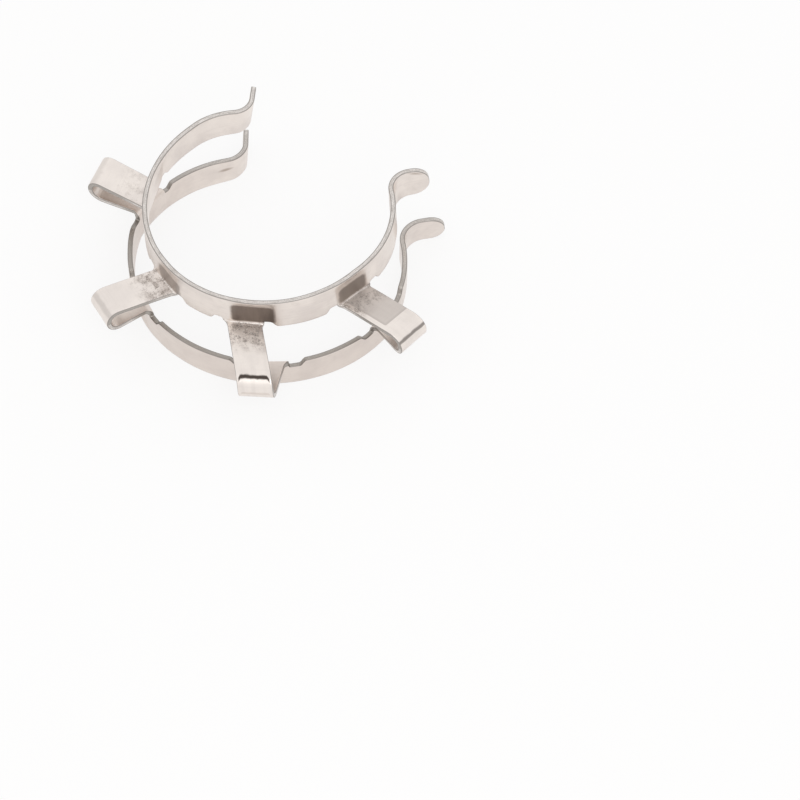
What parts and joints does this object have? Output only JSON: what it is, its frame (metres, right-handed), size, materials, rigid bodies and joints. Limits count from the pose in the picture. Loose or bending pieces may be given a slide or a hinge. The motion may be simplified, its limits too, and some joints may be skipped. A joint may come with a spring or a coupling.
{
  "type": "ground joint clip",
  "caption": "Spring clip for a conical ground glass joint: two open bands of bent sheet, a small and a large one, joined by hairpin spring loops, with outturned lips at the mouth.",
  "frame": {"origin": "on the bands' common axis, at the lower edge of the lower band", "axes": "+Z along the bands' axis towards the smaller band, +Y out of the mouth"},
  "size_m": [0.0454, 0.0348, 0.0122],
  "materials": {
    "spring_sheet": "bright nickel-plated spring steel with light forming marks"
  },
  "bodies": {
    "root": {"joint_clip": "spring_sheet"}
  },
  "joints": []
}
